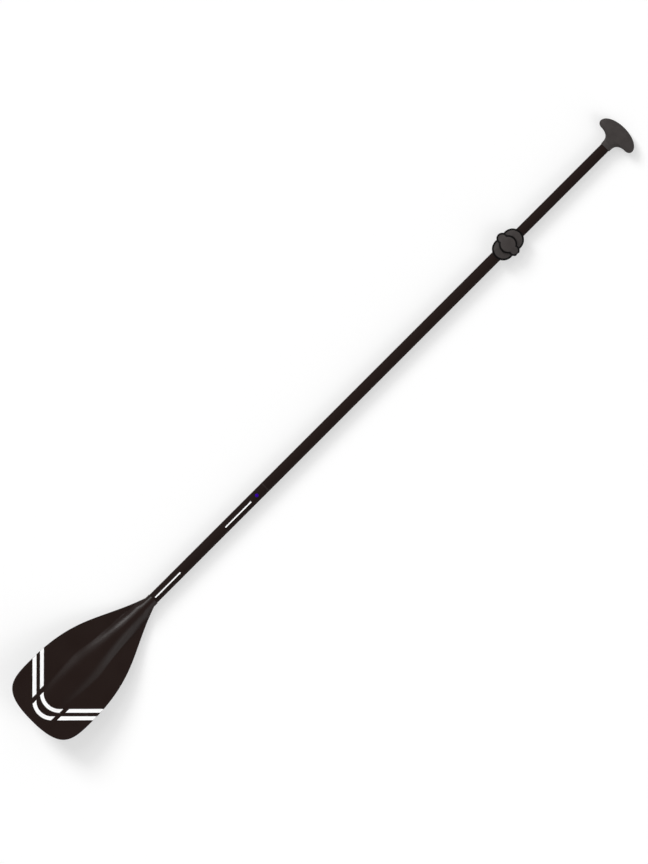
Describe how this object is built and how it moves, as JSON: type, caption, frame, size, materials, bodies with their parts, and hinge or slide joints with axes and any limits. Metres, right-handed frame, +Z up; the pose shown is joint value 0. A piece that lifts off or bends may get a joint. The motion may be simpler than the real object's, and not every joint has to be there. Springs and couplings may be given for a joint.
{
  "type": "stand-up paddleboard paddle",
  "caption": "Adjustable stand-up paddle lying flat: leaning blade with a raised spine, jointed tube shaft with a snap button, cam-lever height clamp and T-grip.",
  "frame": {"origin": "middle of the object's box, on the surface that it lies on", "axes": "+X along the shaft from the blade to the T-grip; +Z up, out of the front face of the blade; +Y across the blade"},
  "size_m": [2.1002, 0.218, 0.0777],
  "materials": {
    "blade_plastic": "satin moulded black with a warm cast",
    "shaft_coat": "black-coated aluminium tube",
    "foam": "closed-cell foam",
    "ring_plastic": "satin dark plastic",
    "bare_aluminium": "drawn tube",
    "nylon": "natural white nylon",
    "button_plastic": "smooth violet plastic",
    "steel": "stainless",
    "clamp_plastic": "moulded dark grey, fine grain",
    "grip_plastic": "moulded dark grey, fine grain"
  },
  "bodies": {
    "shaft": {"blade": "blade_plastic", "lower_tube": "shaft_coat", "lower_seal": "foam", "joint_ring": "ring_plastic", "ferrule": "bare_aluminium", "ferrule_plug": "nylon", "button_spring": "steel", "middle_tube": "shaft_coat", "middle_seal": "foam", "clamp_collar": "clamp_plastic", "collar_screw_1": "steel", "collar_screw_2": "steel", "mouth_bush": "nylon", "barrel_pin": "steel", "cam_pad": "steel", "bolt_washer": "steel", "draw_bolt": "steel"},
    "lever": {"clamp_lever": "clamp_plastic"},
    "button": {"snap_button": "button_plastic"},
    "length_guide": {"guide_bush": "nylon"},
    "handle": {"upper_tube": "shaft_coat", "upper_seal": "foam", "t_grip": "grip_plastic"}
  },
  "joints": [
    {"name": "lever_hinge", "type": "hinge", "parent": "shaft", "child": "lever", "pos_m": [0.6369, -0.0282, 0.02571], "axis": [1, 0, 0], "range_deg": [0, 90]},
    {"name": "button_press", "type": "slide", "parent": "shaft", "child": "button", "axis": [0, 0, -1], "range_m": [0, 0.0034], "stiffness_N_per_m": 2500, "springref_m": -0.002, "deforming": ["button_spring"]},
    {"name": "length_slide", "type": "slide", "parent": "shaft", "child": "length_guide", "axis": [1, 0, 0], "range_m": [-0.29, 0.1]},
    {"name": "handle_twist", "type": "hinge", "parent": "length_guide", "child": "handle", "pos_m": [0.6369, 0, 0.0175], "axis": [1, 0, 0], "continuous": true}
  ]
}
